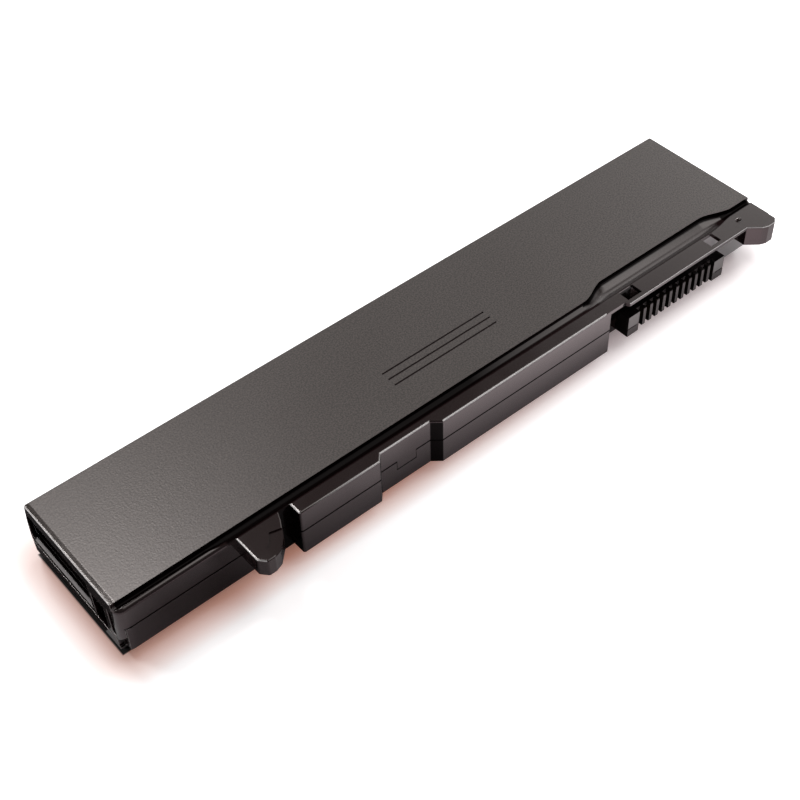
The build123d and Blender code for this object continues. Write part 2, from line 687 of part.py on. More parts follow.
def behind_board(x0, x1, radius):
    """Straight lead from a strip, with its end soldered to the back of the board."""
    z = BOARD_Z + BOARD_H - ARM_H / 2
    y = BOARD_Y + BOARD_T + radius
    rod = Cylinder(radius, x1 - x0, align=(Align.CENTER, Align.CENTER, Align.MIN))
    wire = Pos(x0, y, z) * Rot(0, 90, 0) * rod
    return wire, y, z


def lead_tap_2():
    """Second tap lead, behind the board."""
    x0 = strip_face(2)
    wire, y, z = behind_board(x0, x0 + TAP_RUN, TAP_R)
    return wire + lug(x0 + TAP_RUN - LUG_L, x0 + TAP_RUN, z - TAP_R, z + TAP_R, BOARD_Y + BOARD_T, y)


def lead_positive():
    """Red lead from the last strip to the back of the board."""
    x1 = STACK_END - STRIP_T
    x0 = x1 - POSITIVE_RUN
    wire, y, z = behind_board(x0, x1, LEAD_R)
    return wire + lug(x0, x0 + LUG_L, z - LEAD_R, z + LEAD_R, BOARD_Y + BOARD_T, y)


def write(name, shape):
    """Move a finished piece to the shared frame and save it."""
    pieces = shape if isinstance(shape, list) else [shape]
    solids = [s for p in pieces for s in (SHIFT * p).solids()]
    part = solids[0] if len(solids) == 1 else Compound(children=solids)
    part.label = name
    export_step(part, f"parts/{name}.step")


os.makedirs("parts", exist_ok=True)
top_cover, bottom_cover = covers()
write("top_cover", top_cover)
write("bottom_cover", bottom_cover)
for number in range(3):
    write(f"cell_front_{number + 1}", cell(0, number))
    write(f"cell_back_{number + 1}", cell(1, number))
write("insulator_rings", insulator_rings())
write("strip_negative", strip(0, LEAD_Z - ARM_H / 2, LEAD_Y - LEAD_R))
write("strip_mid_1", strip(1, TAP_1_Z - ARM_H / 2, TAP_1_Y - TAP_R))
write("strip_mid_2", strip(2, BOARD_Z + BOARD_H - ARM_H, ARM_BACK))
write("strip_positive", strip(3, BOARD_Z + BOARD_H - ARM_H, ARM_BACK))
write("circuit_board", board())
AFTER_SWITCHES = part_x(CONTROL_L, GUARD_L, SWITCH_L, SWITCH_L)
write("control_chip", on_board(part_x(), CONTROL_L, BOARD_MIDDLE, CONTROL_H, CONTROL_T))
write("protection_chip", on_board(part_x(CONTROL_L), GUARD_L, BOARD_MIDDLE, GUARD_H, GUARD_T))
write("switch_transistors", [
    on_board(part_x(CONTROL_L, GUARD_L), SWITCH_L, BOARD_MIDDLE, SWITCH_H, SWITCH_T),
    on_board(part_x(CONTROL_L, GUARD_L, SWITCH_L), SWITCH_L, BOARD_MIDDLE, SWITCH_H, SWITCH_T)])
SHUNT_MIDDLE = BOARD_MIDDLE - SHUNT_H / 2 - PART_GAP
write("sense_resistor", on_board(AFTER_SWITCHES, SHUNT_L, SHUNT_MIDDLE, SHUNT_H, SHUNT_T))
write("cutout_fuse", on_board(AFTER_SWITCHES, FUSE_L, BOARD_MIDDLE + FUSE_H / 2, FUSE_H, FUSE_T))
write("connector_housing", plug())
write("connector_contacts", blades())
write("lead_negative", lead_negative())
write("lead_tap_1", lead_tap_1())
write("lead_tap_2", lead_tap_2())
write("lead_positive", lead_positive())
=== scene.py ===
# %% [markdown]
# # A laptop battery, dressed for its picture
# The case, the cells and the board were built as solids and packed in one frame, in metres.
# This lesson loads that frame as it is and gives every piece its finish: a grained panel, satin
# black mouldings, printed board, sleeved cells and plated contacts. Nothing here moves a solid.

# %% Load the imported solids
import json
import math
import bpy
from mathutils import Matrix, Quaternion, Vector


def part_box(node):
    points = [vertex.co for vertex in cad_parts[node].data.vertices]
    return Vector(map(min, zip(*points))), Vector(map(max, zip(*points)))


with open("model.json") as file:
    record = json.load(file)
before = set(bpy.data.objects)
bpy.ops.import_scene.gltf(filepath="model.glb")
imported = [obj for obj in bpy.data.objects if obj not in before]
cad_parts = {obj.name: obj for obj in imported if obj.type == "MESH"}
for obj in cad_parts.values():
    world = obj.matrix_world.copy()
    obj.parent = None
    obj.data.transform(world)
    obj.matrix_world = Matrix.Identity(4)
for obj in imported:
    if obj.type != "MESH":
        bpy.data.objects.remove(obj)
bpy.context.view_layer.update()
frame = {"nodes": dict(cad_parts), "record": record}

nodes = frame["nodes"]
bpy.ops.object.select_all(action="DESELECT")
panel_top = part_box("top_cover")[1].z
print("pieces", len(nodes), "panel at", round(panel_top * 1000, 2), "mm")

# %% [markdown]
# ## Camera
# The picture was taken from the front left, about half way up, close enough for strong
# perspective. A camera can be aimed with a constraint, but plain numbers are steadier: the
# direction back to the camera gives a rotation, and a small roll about that line tilts the frame.

# %% Place the camera
CAMERA_PLACE = (-0.16649, -0.19504, 0.27394)
CAMERA_BACK = (-0.42651, -0.53658, 0.72813)
CAMERA_ROLL = math.radians(-2.24)
SENSOR_MM = 36.0
LENS_MM = 64.61
CLIP_START = 0.01


def add_camera():
    lens = bpy.data.cameras.new("studio_camera")
    lens.sensor_width = SENSOR_MM
    lens.lens = LENS_MM
    lens.clip_start = CLIP_START
    camera = bpy.data.objects.new("studio_camera", lens)
    bpy.context.scene.collection.objects.link(camera)
    roll = Quaternion((0, 0, 1), CAMERA_ROLL)
    camera.rotation_mode = "QUATERNION"
    camera.rotation_quaternion = Vector(CAMERA_BACK).to_track_quat("Z", "Y") @ roll
    camera.location = CAMERA_PLACE
    bpy.context.scene.camera = camera
    return camera


camera = add_camera()
print("camera", [round(v, 4) for v in camera.location])

# %% [markdown]
# ## Node helpers
# Every finish is a small tree of nodes, and the same few moves come back in each: set a socket,
# add a sum, take a vector apart. They could be wired one by one, but a helper for each keeps the
# trees short enough to read. A plain number is written straight on the socket, and anything else
# is linked to it.

# %% Helpers for sums
def feed(tree, socket, value):
    """Set a socket to a number or colour, or link it to another socket."""
    if isinstance(value, (int, float)):
        socket.default_value = value
    elif isinstance(value, tuple):
        socket.default_value = (*value, 1) if len(socket.default_value) == 4 else value
    else:
        tree.links.new(value, socket)


def add_math(tree, operation, a, b):
    node = tree.nodes.new("ShaderNodeMath")
    node.operation = operation
    feed(tree, node.inputs[0], a)
    feed(tree, node.inputs[1], b)
    return node.outputs[0]


def product(tree, first, *others):
    """All values multiplied together."""
    for value in others:
        first = add_math(tree, "MULTIPLY", first, value)
    return first


def largest(tree, first, *others):
    """The largest of all values, which joins masks."""
    for value in others:
        first = add_math(tree, "MAXIMUM", first, value)
    return first


def add_vector(tree, operation, a, b=(0.0, 0.0, 0.0)):
    node = tree.nodes.new("ShaderNodeVectorMath")
    node.operation = operation
    feed(tree, node.inputs[0], a)
    feed(tree, node.inputs[1], b)
    return node.outputs["Value" if operation in ("LENGTH", "DOT_PRODUCT") else "Vector"]


def split_axes(tree, vector):
    node = tree.nodes.new("ShaderNodeSeparateXYZ")
    feed(tree, node.inputs[0], vector)
    return node.outputs["X"], node.outputs["Y"], node.outputs["Z"]


sums = (feed, add_math, product, largest, add_vector, split_axes)
print("helpers for sums:", ", ".join(helper.__name__ for helper in sums))

# %% [markdown]
# ## Ranges and mixes
# A finish mostly asks two things of a value: move it from one range to another, and use it to pass
# from one look to the next. A colour ramp can do both at once, but it hides its numbers in a
# widget. A map range and a mix keep each number in the script, where it can be read.

# %% Helpers for ranges and mixes
def spread(tree, value, low, high, out_low=0.0, out_high=1.0):
    """Value moved from one range to another, and kept inside it."""
    node = tree.nodes.new("ShaderNodeMapRange")
    feed(tree, node.inputs["Value"], value)
    labels = ("From Min", "From Max", "To Min", "To Max")
    for label, number in zip(labels, (low, high, out_low, out_high)):
        feed(tree, node.inputs[label], number)
    return node.outputs["Result"]


def flip(tree, mask):
    """Mask with its inside and outside changed over."""
    return spread(tree, mask, 0.0, 1.0, 1.0, 0.0)


def blend(tree, factor, first, second):
    """Mix of two colours."""
    node = tree.nodes.new("ShaderNodeMix")
    node.data_type = "RGBA"
    feed(tree, node.inputs["Factor"], factor)
    feed(tree, node.inputs[6], first)
    feed(tree, node.inputs[7], second)
    return node.outputs[2]


def mix_values(tree, factor, first, second):
    """Mix of two plain values."""
    node = tree.nodes.new("ShaderNodeMix")
    feed(tree, node.inputs["Factor"], factor)
    feed(tree, node.inputs[2], first)
    feed(tree, node.inputs[3], second)
    return node.outputs[0]


mixes = (spread, flip, blend, mix_values)
print("helpers for mixes:", ", ".join(helper.__name__ for helper in mixes))

# %% [markdown]
# ## Masks by place
# Each half of the case is one moulding with one material, so a patch of it that looks different is
# found by where it lies. A mask could be painted on a map of the surface, but a box in the frame's
# own measures needs no map and stays sharp at any scale. Its sides fade across a fraction of a
# millimetre, so that no edge looks cut.

# %% Mask of a box
BOX_SOFT = 0.0002
BOX_SHARP = 0.0001


def in_box(tree, place, low, high, soft=BOX_SOFT):
    """Mask that is 1 inside a box and fades out at its sides. A side of None is left open."""
    sides = []
    for axis, start, end in zip(split_axes(tree, place), low, high):
        for edge, inward in ((start, soft), (end, -soft)):
            if edge is not None:
                sides.append(spread(tree, axis, edge - inward, edge + inward))
    return product(tree, *sides)


print("sides of a box fade across", round(BOX_SOFT * 2000, 2), "mm")

# %% [markdown]
# ## Distance on the floor
# The paper is white in the open and darkest at the foot of the pack. A baked shadow would hold for
# one view only, so the paper measures how far each point lies from the case, which is a box in
# plan, and its light can then follow that distance.

# %% Measure from the foot of the case
FOOT_MIDDLE = (0.0011, 0.0066, 0.0)
FOOT_HALF = (0.1029, 0.0180, 1.0)


def distance_from_pack(tree, place):
    """Distance on the floor from the foot of the case, which is 0 under it."""
    moved = add_vector(tree, "SUBTRACT", place, FOOT_MIDDLE)
    outside = add_vector(tree, "SUBTRACT", add_vector(tree, "ABSOLUTE", moved), FOOT_HALF)
    return add_vector(tree, "LENGTH", add_vector(tree, "MAXIMUM", outside))


print("foot of the case", [round(v * 2000, 1) for v in FOOT_HALF[:2]], "mm")

# %% [markdown]
# ## Light from the paper
# In a studio the paper is lit until it is white, and beside the pack it throws a warm pink bounce.
# Lamps strong enough for that would wash out the black plastic. So the paper gives a little light
# of its own that only the camera sees, and that fades out towards the foot of the pack. Mirror
# rays see a second light that grows to the right, where the walls in the picture are brightest.

# %% Levels of the paper
# Each range is in metres. Where two more numbers follow, they are the levels at its ends.
NEAR_GLOW = (0.0, 0.012, 0.19, 0.72)
FAR_GLOW = (0.012, 0.05, 0.0, 0.30)
RIGHT_GLOW = (-0.06, 0.08, 0.0, 0.40)
RIGHT_REACH = (0.005, 0.012)
MIRROR_RISE = (-0.07, 0.055, 0.0, 1.30)
MIRROR_FALL = (0.070, 0.105, 1.0, 0.35)
MIRROR_REACH = (0.009, 0.021)
BOUNCE_SIDE = (-0.03, 0.05)
BOUNCE_REACH = (0.003, 0.011)
BOUNCE_LEFT = (1.0, 0.46, 0.33)
BOUNCE_RIGHT = (1.0, 0.84, 0.85)
OPEN_TINT = (1.0, 0.96, 0.96)


def glow_for_camera(tree, along, away):
    near = spread(tree, away, *NEAR_GLOW)
    far = spread(tree, away, *FAR_GLOW)
    right = product(tree, spread(tree, along, *RIGHT_GLOW), spread(tree, away, *RIGHT_REACH))
    return add_math(tree, "ADD", add_math(tree, "ADD", near, far), right)


def glow_for_mirrors(tree, along, away):
    rise = spread(tree, along, *MIRROR_RISE)
    fall = spread(tree, along, *MIRROR_FALL)
    return product(tree, rise, fall, spread(tree, away, *MIRROR_REACH))


def glow_tint(tree, along, away):
    bounce = blend(tree, spread(tree, along, *BOUNCE_SIDE), BOUNCE_LEFT, BOUNCE_RIGHT)
    return blend(tree, spread(tree, away, *BOUNCE_REACH), bounce, OPEN_TINT)


print("paper turns white", round(FAR_GLOW[1] * 1000), "mm from the pack")

# %% [markdown]
# ## Painted shadow at the left end
# The shadow under the left end is black in the picture, and the hollows above it mirror nothing
# bright. In a studio a black card held near the end would do this. Here the shadow is painted: the
# paper is dark in a patch under the end, and for mirror rays it is painted dimmer beside the end
# and along the left walls, as painted shade in their reflections.

# %% Paint shade on the paper for mirrors
# The painted shadow under the end, and where the painted shade in mirrors starts and falls off.
SHADOW_UNDER_END = ((-0.1039, -0.0122, None), (-0.0900, 0.0256, None))
SHADE_BESIDE_END = ((-0.1300, -0.0040, None), (-0.1037, 0.0700, None))
MIRROR_SHADE_START = (-0.100, -0.088, 0.2, 1.0)
MIRROR_SHADE_FALL = (-0.09, -0.02, 0.54, 0.14)


def painted_shade_for_mirrors(tree, place, along):
    # Painted shade in mirrors, strongest at the left end.
    dim = product(tree, spread(tree, along, *MIRROR_SHADE_START), spread(tree, along, *MIRROR_SHADE_FALL))
    return largest(tree, in_box(tree, place, *SHADE_BESIDE_END), dim)


print("dark patch", round((SHADOW_UNDER_END[1][0] - SHADOW_UNDER_END[0][0]) * 1000, 1), "mm long")

# %% [markdown]
# ## Floor
# The pack lies on one wide sheet of white paper. A gloss or a grain would show as a pattern under
# it, so the sheet is plain diffuse, which keeps the shadow, with its own light added on top. It
# lies a hair below the pack, so that the two never fight for the same plane.

# %% Lay the paper
PAPER_SIZE = 8.0
PAPER_DROP = 0.00005
PAPER_TONE = (0.86, 0.86, 0.86)
PAINTED_SHADOW_TONE = (0.05, 0.05, 0.05)


def paper_finish():
    finish = bpy.data.materials.new("white_paper")
    finish.use_nodes = True
    tree = finish.node_tree
    tree.nodes.clear()
    place = tree.nodes.new("ShaderNodeTexCoord").outputs["Object"]
    along = split_axes(tree, place)[0]
    away = distance_from_pack(tree, place)
    rays = tree.nodes.new("ShaderNodeLightPath").outputs
    mirrors = largest(tree, rays["Is Glossy Ray"], rays["Is Transmission Ray"])
    # Painted shadow under the left end, and painted shade beside it for mirror rays.
    shadow_under_end = in_box(tree, place, *SHADOW_UNDER_END)
    dim = product(tree, painted_shade_for_mirrors(tree, place, along), mirrors)
    matt = tree.nodes.new("ShaderNodeBsdfDiffuse")
    dark = largest(tree, shadow_under_end, dim)
    feed(tree, matt.inputs["Color"], blend(tree, dark, PAPER_TONE, PAINTED_SHADOW_TONE))
    seen = product(tree, glow_for_camera(tree, along, away), flip(tree, shadow_under_end))
    for_camera = product(tree, rays["Is Camera Ray"], seen)
    for_mirrors = product(tree, mirrors, glow_for_mirrors(tree, along, away))
    glow = tree.nodes.new("ShaderNodeEmission")
    feed(tree, glow.inputs["Color"], glow_tint(tree, along, away))
    feed(tree, glow.inputs["Strength"], add_math(tree, "ADD", for_camera, for_mirrors))
    both = tree.nodes.new("ShaderNodeAddShader")
    feed(tree, both.inputs[0], matt.outputs[0])
    feed(tree, both.inputs[1], glow.outputs[0])
    out = tree.nodes.new("ShaderNodeOutputMaterial")
    feed(tree, out.inputs["Surface"], both.outputs[0])
    return finish


bpy.ops.mesh.primitive_plane_add(size=PAPER_SIZE, location=(0, 0, -PAPER_DROP))
paper = bpy.context.object
paper.name = "paper"
bpy.ops.object.transform_apply(location=True, rotation=False, scale=False)
paper.data.materials.append(paper_finish())
print("paper", PAPER_SIZE, "m across")

# %% [markdown]
# ## Light
# Dark plastic is drawn by what it mirrors. The main box hangs high behind the pack, so that the
# shadows fall forward and the panel takes a sheen at its left end. A small box behind the left end
# draws the edges that face left, and a very small one far off on the right gives the right end of
# the panel a faint sheen of its own. Spot lamps could stand there too, but a soft box has no hard
# rim to its light.

# %% Hang the lamps
PACK_CENTRE = (0, 0, 0.01)
LEFT_END = (-0.07, 0, 0.01)
RIGHT_END = (0.06, 0, 0.01)
RIGHT_BOX_PLACE = (0.584, 0.323, 0.35)


def add_softbox(name, place, target, width, height, watts):
    lamp = bpy.data.lights.new(name, "AREA")
    lamp.shape = "RECTANGLE"
    lamp.size = width
    lamp.size_y = height
    lamp.energy = watts
    box = bpy.data.objects.new(name, lamp)
    bpy.context.scene.collection.objects.link(box)
    box.location = place
    box.rotation_mode = "QUATERNION"
    box.rotation_quaternion = (Vector(place) - Vector(target)).to_track_quat("Z", "Y")
    print(name, [round(v, 3) for v in place])


def seen_from(centre, azimuth, elevation, distance):
    """Point at a compass angle from +X and a height angle, seen from a point of the pack."""
    a, e = math.radians(azimuth), math.radians(elevation)
    ray = Vector((math.cos(e) * math.cos(a), math.cos(e) * math.sin(a), math.sin(e)))
    return tuple(Vector(centre) + ray * distance)


rear_place = seen_from(PACK_CENTRE, azimuth=91, elevation=62, distance=1.0)
rear_left_place = seen_from(LEFT_END, azimuth=125, elevation=45, distance=0.50)
add_softbox("rear_box", rear_place, PACK_CENTRE, width=0.20, height=0.16, watts=3.4)
add_softbox("rear_left_box", rear_left_place, LEFT_END, width=0.09, height=0.07, watts=0.45)
add_softbox("right_box", RIGHT_BOX_PLACE, RIGHT_END, width=0.05, height=0.05, watts=0.09)

# %% [markdown]
# ## Cards in the room
# Around the pack stand three pale cards: one low behind the right end, which the flat shelf and
# the tab mirror, one high on the right, which lights the dished scoop, and one low behind the left
# end, which draws its edges. A card could be a glowing plane, but a patch of the room's own light
# stands far away and can't get in front of the camera. A patch is known by the angle between a ray
# and the direction of the card.

# %% Levels of the cards
# An edge is a range of the cosine of that angle, and the other ranges are parts of a unit ray.
LOW_CARD_AIM = (0.80, 0.60, 0.0)
LOW_CARD_EDGE = (0.45, 0.75)
LOW_CARD_TOP = (0.71, 0.60)
LOW_CARD_FOOT = (0.0, 0.45, 0.45, 1.0)
LOW_CARD_LEVEL = 1.08
HIGH_CARD_AIM = (0.63, -0.11, 0.77)
HIGH_CARD_EDGE = (0.835, 0.92, 0.0, 1.84)
HIGH_CARD_SIDE = (0.67, 0.60)
LEFT_CARD_AIM = (-0.72, 0.62, 0.30)
LEFT_CARD_EDGE = (0.80, 0.90)


def round_card(tree, ray, aim, edge):
    return spread(tree, add_vector(tree, "DOT_PRODUCT", ray, aim), *edge)


def low_card(tree, ray):
    height = split_axes(tree, ray)[2]
    top = spread(tree, height, *LOW_CARD_TOP)
    foot = spread(tree, height, *LOW_CARD_FOOT)
    side = round_card(tree, ray, LOW_CARD_AIM, LOW_CARD_EDGE)
    return product(tree, top, foot, side, LOW_CARD_LEVEL)


def high_card(tree, ray):
    side = spread(tree, split_axes(tree, ray)[0], *HIGH_CARD_SIDE)
    return product(tree, round_card(tree, ray, HIGH_CARD_AIM, HIGH_CARD_EDGE), side)


print("brightest card", max(LOW_CARD_LEVEL, HIGH_CARD_EDGE[3]))

# %% [markdown]
# ## Backdrop
# The rest of the room is dim, so that the black stays black. The left card is kept for mirror rays
# alone, because it would also fill the shadows. The camera itself only meets white where it looks
# past the paper, which is done by asking the light path what kind of ray has arrived.

# %% Light the backdrop
ROOM_LEVEL = 0.09
WHITE_LEVEL = 1.0


def backdrop_world():
    room = bpy.data.worlds.new("studio_room")
    room.use_nodes = True
    tree = room.node_tree
    tree.nodes.clear()
    ray = tree.nodes.new("ShaderNodeTexCoord").outputs["Generated"]
    rays = tree.nodes.new("ShaderNodeLightPath").outputs
    left = round_card(tree, ray, LEFT_CARD_AIM, LEFT_CARD_EDGE)
    left_card = product(tree, left, rays["Is Glossy Ray"])
    cards = largest(tree, low_card(tree, ray), high_card(tree, ray), left_card)
    level = add_math(tree, "ADD", cards, ROOM_LEVEL)
    air = tree.nodes.new("ShaderNodeBackground")
    feed(tree, air.inputs["Color"], (1.0, 1.0, 1.0))
    strength = mix_values(tree, rays["Is Camera Ray"], level, WHITE_LEVEL)
    feed(tree, air.inputs["Strength"], strength)
    out = tree.nodes.new("ShaderNodeOutputWorld")
    feed(tree, out.inputs["Surface"], air.outputs[0])
    return room


bpy.context.scene.world = backdrop_world()
bpy.context.scene.view_settings.view_transform = "Standard"
print("backdrop", bpy.context.scene.world.name)

# %% [markdown]
# ## Effects that several finishes share
# A moulding tool leaves a fine texture, and handling leaves faint cloudy marks and a few specks.
# Each effect is a node group with its own inputs, placed in every finish that needs it, so one
# change reaches them all. Groups give out masks and heights only; the shader stays in the finish.

# %% Start a node group
def new_group(name, inputs, outputs):
    group = bpy.data.node_groups.new(name, "ShaderNodeTree")
    for label, kind, value in inputs:
        socket = group.interface.new_socket(name=label, in_out="INPUT", socket_type=kind)
        if value is not None:
            socket.default_value = value
    for label, kind in outputs:
        group.interface.new_socket(name=label, in_out="OUTPUT", socket_type=kind)
    start = group.nodes.new("NodeGroupInput")
    end = group.nodes.new("NodeGroupOutput")
    print("group", name, "gives", ", ".join(label for label, kind in outputs))
    return group, start, end


# %% [markdown]
# ### Fine tool texture
# The steel of a mould is etched or spark cut, and the plastic copies its grain, a few tenths of a
# millimetre across. A picture of real grain would do, but it has seams and a fixed sharpness.
# Noise has neither: it gives the fleck of the colour, and smooth pits are added for the height.

# %% Make the tool texture
GRAIN_DETAIL = 2.0
GRAIN_ROUGHNESS = 0.6


def make_tool_grain():
    group, start, end = new_group(
        "tool_grain",
        [("Place", "NodeSocketVector", None), ("Grains per Metre", "NodeSocketFloat", 2500.0)],
        [("Height", "NodeSocketFloat"), ("Fleck", "NodeSocketFloat")])
    fine = group.nodes.new("ShaderNodeTexNoise")
    feed(group, fine.inputs["Detail"], GRAIN_DETAIL)
    feed(group, fine.inputs["Roughness"], GRAIN_ROUGHNESS)
    pits = group.nodes.new("ShaderNodeTexVoronoi")
    pits.feature = "SMOOTH_F1"
    for texture in (fine, pits):
        feed(group, texture.inputs["Vector"], start.outputs["Place"])
        feed(group, texture.inputs["Scale"], start.outputs["Grains per Metre"])
    height = add_math(group, "ADD", fine.outputs["Fac"], pits.outputs["Distance"])
    feed(group, end.inputs["Height"], height)
    feed(group, end.inputs["Fleck"], fine.outputs["Fac"])
    return group


tool_grain = make_tool_grain()

# %% [markdown]
# ### Marks of handling
# Fingers leave a cloudy film that makes the gloss uneven, and dust leaves pale specks. Both could
# be painted by hand, but noise spreads them without a pattern. The specks sit in the middle of
# small cells, and only the few cells with a high random colour keep theirs.

# %% Make the marks of handling
CLOUD_DETAIL = 3.0
CLOUD_DISTORTION = 0.4
SPECKS_PER_METRE = 420.0
SPECK_SIZE = (0.05, 0.02)
SPECK_SHARE = (0.80, 0.95)


def make_handling():
    group, start, end = new_group(
        "handling_marks",
        [("Place", "NodeSocketVector", None), ("Clouds per Metre", "NodeSocketFloat", 30.0)],
        [("Cloud", "NodeSocketFloat"), ("Speck", "NodeSocketFloat")])
    cloud = group.nodes.new("ShaderNodeTexNoise")
    feed(group, cloud.inputs["Detail"], CLOUD_DETAIL)
    feed(group, cloud.inputs["Distortion"], CLOUD_DISTORTION)
    feed(group, cloud.inputs["Vector"], start.outputs["Place"])
    feed(group, cloud.inputs["Scale"], start.outputs["Clouds per Metre"])
    feed(group, end.inputs["Cloud"], cloud.outputs["Fac"])
    dots = group.nodes.new("ShaderNodeTexVoronoi")
    feed(group, dots.inputs["Scale"], SPECKS_PER_METRE)
    feed(group, dots.inputs["Vector"], start.outputs["Place"])
    near = spread(group, dots.outputs["Distance"], *SPECK_SIZE)
    some = spread(group, dots.outputs["Color"], *SPECK_SHARE)
    feed(group, end.inputs["Speck"], product(group, near, some))
    return group


handling_marks = make_handling()

# %% [markdown]
# ### Soft edges
# No moulded edge is quite sharp. Edges that are large enough to see are rounded in the solids. The
# thin ribs of the left end are too fine for that, so the shader bends the normal near their edges,
# and the same bend gives a mask for the light that such an edge catches.

# %% Make the soft edges
BEVEL_SAMPLES = 6
EDGE_BEND = (0.98, 0.75)


def make_soft_edge():
    group, start, end = new_group(
        "soft_edge",
        [("Radius", "NodeSocketFloat", 0.0002)],
        [("Normal", "NodeSocketVector"), ("Edge", "NodeSocketFloat")])
    round_over = group.nodes.new("ShaderNodeBevel")
    round_over.samples = BEVEL_SAMPLES
    feed(group, round_over.inputs["Radius"], start.outputs["Radius"])
    rounded = round_over.outputs["Normal"]
    flat = group.nodes.new("ShaderNodeNewGeometry").outputs["Normal"]
    bend = add_vector(group, "DOT_PRODUCT", rounded, flat)
    feed(group, end.inputs["Normal"], rounded)
    feed(group, end.inputs["Edge"], spread(group, bend, *EDGE_BEND))
    return group


soft_edge = make_soft_edge()

# %% [markdown]
# ## Start of a finish
# Every finish begins with the same shader and the piece's own coordinates, so that a texture stays
# on the piece. A finish that builds on another one reads what already feeds an input and mixes its
# own look over that, which saves wiring the first look twice.

# %% Helpers that start a finish
NOISE_RANGE = (0.3, 0.7)


def new_finish(name):
    finish = bpy.data.materials.new(name)
    finish.use_nodes = True
    tree = finish.node_tree
    shader = tree.nodes["Principled BSDF"]
    place = tree.nodes.new("ShaderNodeTexCoord").outputs["Object"]
    print("finish", name)
    return finish, tree, shader, place


def use_group(tree, group, **links):
    node = tree.nodes.new("ShaderNodeGroup")
    node.node_tree = group
    for label, value in links.items():
        feed(tree, node.inputs[label.replace("_", " ")], value)
    return node


def vary(tree, noise, value, by):
    """Value that noise moves up and down a little."""
    return spread(tree, noise, *NOISE_RANGE, value - by, value + by)


def add_bump(tree, shader, height, depth, strength, normal=None):
    node = tree.nodes.new("ShaderNodeBump")
    feed(tree, node.inputs["Strength"], strength)
    feed(tree, node.inputs["Distance"], depth)
    feed(tree, node.inputs["Height"], height)
    if normal is not None:
        feed(tree, node.inputs["Normal"], normal)
    feed(tree, shader.inputs["Normal"], node.outputs["Normal"])


def source_of(shader, label):
    """Socket that feeds an input of the shader."""
    return shader.inputs[label].links[0].from_socket


starters = (new_finish, use_group, vary, add_bump, source_of)
print("helpers for finishes:", ", ".join(helper.__name__ for helper in starters))

# %% [markdown]
# ## Satin black mouldings
# The plastic parts come from polished tools, so their walls are smooth satin black that mirrors
# the paper. One even tone would look dead, so clouds and a few specks vary it. The walls mirror a
# little pinker than the flat tops, as in the picture, so a painted tint of the reflection follows
# the way a face points. Only the left end has soft edges in the shader, since they cost time
# wherever they are used, and there a painted highlight turns their edges pale grey.

# %% Black moulding
END_RADIUS = (-0.1018, -0.1016, 0.0003, 0.0)
CLOUD_LIGHTENS = 1.35
SPECK_STRENGTH = 0.25
SPECK_GREY = (0.30, 0.29, 0.28)
EDGE_HIGHLIGHT_GREY = (0.42, 0.39, 0.38)
BLACK_SHINE = 0.9
UPWARD = (0.3, 0.8)
WALL_REFLECTION_TINT = (1.0, 0.76, 0.80)
TOP_REFLECTION_TINT = (1.0, 0.92, 0.89)
TOOL_DEPTH = 0.00002


def moulded_black(name, tone, roughness):
    finish, tree, shader, place = new_finish(name)
    grain = use_group(tree, tool_grain, Place=place, Grains_per_Metre=1600.0)
    marks = use_group(tree, handling_marks, Place=place, Clouds_per_Metre=40.0)
    radius = spread(tree, split_axes(tree, place)[0], *END_RADIUS)
    edge = use_group(tree, soft_edge, Radius=radius)
    lighter = tuple(v * CLOUD_LIGHTENS for v in tone)
    colour = blend(tree, marks.outputs["Cloud"], tone, lighter)
    speck = product(tree, marks.outputs["Speck"], SPECK_STRENGTH)
    colour = blend(tree, speck, colour, SPECK_GREY)
    # Painted highlight: edges at the left end turn pale grey.
    colour = blend(tree, edge.outputs["Edge"], colour, EDGE_HIGHLIGHT_GREY)
    feed(tree, shader.inputs["Base Color"], colour)
    rough = vary(tree, marks.outputs["Cloud"], roughness, by=0.03)
    feed(tree, shader.inputs["Roughness"], rough)
    feed(tree, shader.inputs["Specular IOR Level"], BLACK_SHINE)
    # Painted reflection tint: the walls mirror pinker than the tops.
    facing = tree.nodes.new("ShaderNodeNewGeometry").outputs["Normal"]
    upward = spread(tree, split_axes(tree, facing)[2], *UPWARD)
    feed(tree, shader.inputs["Specular Tint"], blend(tree, upward, WALL_REFLECTION_TINT, TOP_REFLECTION_TINT))
    add_bump(tree, shader, grain.outputs["Height"], TOOL_DEPTH, 0.12, edge.outputs["Normal"])
    return finish, tree, shader, place


print("clouds lighten the black", CLOUD_LIGHTENS, "times")

# %% [markdown]
# ## Painted shade, and the seam
# Some places of the case catch no light at all: the hollows of the left end, the slanted step and
# the recess in the front wall, the opening left of the connector, the gutter and trough along the
# panel, and the panel's edge over the scoop. They lie in shade, so here each is a box in which the
# plastic is painted matt black as shade. The seam between the halves is a dark joint, and turns
# matt black the same way. The trough has its sheen back towards the right, so its box fades out
# along the case.

# %% Mask of the painted shade and the seam
HOLLOWS = ((-0.1035, -0.0122, None), (-0.1008, None, 0.0172))
STEP_FACE = ((-0.0164, -0.0197, None), (-0.0139, -0.0172, 0.0186))
RECESS = ((-0.0606, -0.0190, None), (-0.0569, -0.0130, 0.0186))
OPENING = ((0.0480, -0.0196, 0.0090), (0.0560, -0.0145, 0.0188))
GUTTER = ((-0.1028, -0.0144, 0.0180), (-0.0740, -0.0126, 0.0203))
PANEL_EDGE = ((0.0395, -0.0135, 0.01875), (0.1035, -0.0098, 0.0203))
GUTTER_END = ((0.0930, -0.0145, 0.0180), (0.1036, -0.0126, 0.0203))
TROUGH = ((-0.0745, -0.0152, 0.0180), (None, -0.0126, 0.0203))
TROUGH_FADE = (0.052, 0.0)
SEAM_SPANS = (((-0.1030, -0.0269), 0.0124), ((-0.0271, -0.0208), 0.0095),
              ((-0.0210, 0.0480), 0.0124))
SEAM_HALF = 0.0002
SEAM_SOFT = 0.00006
SEAM_BACK = -0.0140


